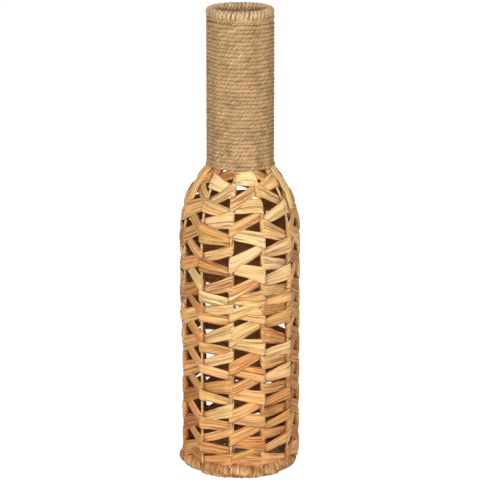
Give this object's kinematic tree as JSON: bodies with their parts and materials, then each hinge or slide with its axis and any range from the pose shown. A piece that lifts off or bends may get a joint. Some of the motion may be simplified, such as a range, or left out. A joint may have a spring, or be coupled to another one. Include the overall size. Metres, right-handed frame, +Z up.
{
  "type": "woven vase",
  "caption": "Tall bottle-shaped vase for dried stems: a round wire cage laced with flat leaf strips, with a twine-wound neck, an overcast rim and a leaf-bound foot.",
  "frame": {"origin": "centre of the base, on the surface that the vase stands on", "axes": "+Z up the vase's axis, -Y towards the front, +X to the right seen from the front"},
  "size_m": [0.1545, 0.1545, 0.6099],
  "materials": {
    "wire": "matt straw-coloured coating on round steel wire",
    "leaf": "dried flat leaf, satin, straw to tan with reddish streaks",
    "foot_leaf": "dried rolled leaf, satin, tan to brown",
    "twine": "natural twisted jute, rough and hairy"
  },
  "bodies": {
    "root": {"rib_01": "wire", "rib_02": "wire", "rib_03": "wire", "rib_04": "wire", "rib_05": "wire", "rib_06": "wire", "rib_07": "wire", "rib_08": "wire", "rib_09": "wire", "rib_10": "wire", "rib_11": "wire", "foot_ring": "wire", "neck_ring": "wire", "mouth_ring": "wire", "hub_disc": "wire", "wall_lacing_01": "leaf", "wall_lacing_02": "leaf", "wall_lacing_03": "leaf", "wall_lacing_04": "leaf", "wall_lacing_05": "leaf", "wall_lacing_06": "leaf", "wall_lacing_07": "leaf", "wall_lacing_08": "leaf", "wall_lacing_09": "leaf", "wall_lacing_10": "leaf", "wall_lacing_11": "leaf", "shoulder_lacing_01": "leaf", "shoulder_lacing_02": "leaf", "shoulder_lacing_03": "leaf", "shoulder_lacing_04": "leaf", "shoulder_lacing_05": "leaf", "shoulder_lacing_06": "leaf", "shoulder_lacing_07": "leaf", "shoulder_lacing_08": "leaf", "shoulder_lacing_09": "leaf", "shoulder_lacing_10": "leaf", "shoulder_lacing_11": "leaf", "base_weave": "leaf", "foot_binding": "foot_leaf", "neck_twine_lower": "twine", "neck_twine_upper": "twine", "rim_twine": "twine"}
  },
  "joints": []
}
